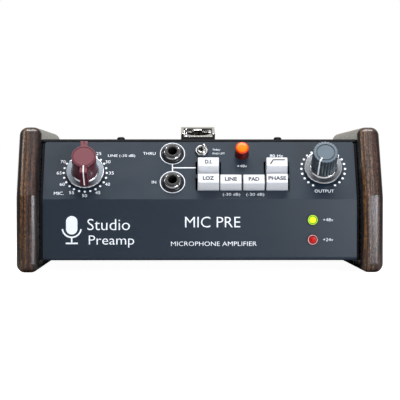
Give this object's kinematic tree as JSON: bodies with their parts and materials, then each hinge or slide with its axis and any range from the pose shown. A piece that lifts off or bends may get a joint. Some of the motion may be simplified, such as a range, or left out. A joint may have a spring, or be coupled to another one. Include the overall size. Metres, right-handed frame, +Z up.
{
  "type": "microphone preamp",
  "caption": "Desk-top microphone preamplifier: a sloped metal control panel with knobs, push keys and jacks, held between two rounded wooden cheeks.",
  "frame": {"origin": "middle of the overall footprint, on the surface it stands on", "axes": "+X to the right seen from the front, +Y to the back, +Z up; the control panel faces -Y"},
  "size_m": [0.258, 0.2294, 0.1062],
  "materials": {
    "walnut": "oiled dark hardwood with rounded edges",
    "panel_paint": "satin slate blue-grey powder coat",
    "black_paint": "fine-textured black powder coat",
    "black_oxide": "black oxide screws",
    "steel": "plain zinc-plated steel",
    "nickel": "bright nickel plating",
    "aluminium": "spun aluminium",
    "maroon_plastic": "semi-gloss maroon moulding",
    "grey_plastic": "satin slate-grey moulding",
    "white_plastic": "semi-gloss white moulding",
    "black_plastic": "satin black moulding",
    "red_plastic": "translucent red moulding",
    "orange_lens": "lit translucent orange lens",
    "green_lens": "lit green lamp lens",
    "red_lens": "red lamp lens",
    "board_resin": "green solder-mask circuit board"
  },
  "bodies": {
    "case": {"chassis_tray": "black_paint", "cover_screw_left_front": "black_oxide", "cover_screw_left_rear": "black_oxide", "cover_screw_right_front": "black_oxide", "cover_screw_right_rear": "black_oxide", "di_switch": "black_plastic", "front_board": "board_resin", "front_panel": "panel_paint", "gain_nut": "nickel", "gain_switch": "steel", "green_lamp_bezel": "black_plastic", "green_lamp_lens": "green_lens", "in_jack_body": "black_plastic", "in_jack_nut": "nickel", "input_transformer": "nickel", "left_cheek": "walnut", "left_cheek_screw_front": "steel", "left_cheek_screw_rear": "steel", "line_switch": "black_plastic", "lowcut_switch": "black_plastic", "loz_switch": "black_plastic", "main_board": "board_resin", "output_nut": "nickel", "output_potentiometer": "steel", "output_transformer": "steel", "pad_switch": "black_plastic", "phantom_switch": "black_plastic", "phase_switch": "black_plastic", "power_inlet": "black_plastic", "rear_output_socket": "nickel", "rear_panel": "black_paint", "red_lamp_bezel": "black_plastic", "red_lamp_lens": "red_lens", "reservoir_capacitor": "black_plastic", "right_cheek": "walnut", "right_cheek_screw_front": "steel", "right_cheek_screw_rear": "steel", "thru_jack_body": "black_plastic", "thru_jack_nut": "nickel", "toggle_body": "steel", "toggle_nut": "nickel", "top_cover": "black_paint", "top_socket_insert": "black_plastic", "top_socket_shell": "nickel", "top_socket_wedge": "black_plastic"},
    "gain_dial": {"gain_knob": "maroon_plastic", "gain_skirt": "aluminium", "gain_shaft": "steel"},
    "output_dial": {"output_knob": "grey_plastic", "output_skirt": "aluminium", "output_shaft": "steel"},
    "ground_toggle": {"toggle_lever": "nickel"},
    "phantom_button": {"phantom_cap": "red_plastic", "phantom_lens": "orange_lens"},
    "di_button": {"di_key": "white_plastic"},
    "lowcut_button": {"lowcut_key": "white_plastic"},
    "loz_button": {"loz_key": "white_plastic"},
    "line_button": {"line_key": "white_plastic"},
    "pad_button": {"pad_key": "white_plastic"},
    "phase_button": {"phase_key": "white_plastic"}
  },
  "joints": [
    {"name": "gain_turn", "type": "hinge", "parent": "case", "child": "gain_dial", "pos_m": [-0.0814, -0.08809, 0.07003], "axis": [0, -0.866, 0.5], "range_deg": [-120, 150]},
    {"name": "output_turn", "type": "hinge", "parent": "case", "child": "output_dial", "pos_m": [0.0881, -0.08639, 0.07298], "axis": [0, -0.866, 0.5], "range_deg": [-300, 0]},
    {"name": "toggle_flip", "type": "hinge", "parent": "case", "child": "ground_toggle", "pos_m": [0.0014, -0.08005, 0.08595], "axis": [0, 0.5, 0.866], "range_deg": [-26, 0]},
    {"name": "phantom_push", "type": "slide", "parent": "case", "child": "phantom_button", "axis": [0, 0.866, -0.5], "range_m": [0, 0.002], "stiffness_N_per_m": 300},
    {"name": "di_push", "type": "slide", "parent": "case", "child": "di_button", "axis": [0, 0.866, -0.5], "range_m": [0, 0.003], "stiffness_N_per_m": 300},
    {"name": "lowcut_push", "type": "slide", "parent": "case", "child": "lowcut_button", "axis": [0, 0.866, -0.5], "range_m": [0, 0.003], "stiffness_N_per_m": 300},
    {"name": "loz_push", "type": "slide", "parent": "case", "child": "loz_button", "axis": [0, 0.866, -0.5], "range_m": [0, 0.003], "stiffness_N_per_m": 300},
    {"name": "line_push", "type": "slide", "parent": "case", "child": "line_button", "axis": [0, 0.866, -0.5], "range_m": [-0.0012, 0.0018], "stiffness_N_per_m": 300},
    {"name": "pad_push", "type": "slide", "parent": "case", "child": "pad_button", "axis": [0, 0.866, -0.5], "range_m": [-0.0012, 0.0018], "stiffness_N_per_m": 300},
    {"name": "phase_push", "type": "slide", "parent": "case", "child": "phase_button", "axis": [0, 0.866, -0.5], "range_m": [0, 0.003], "stiffness_N_per_m": 300}
  ]
}
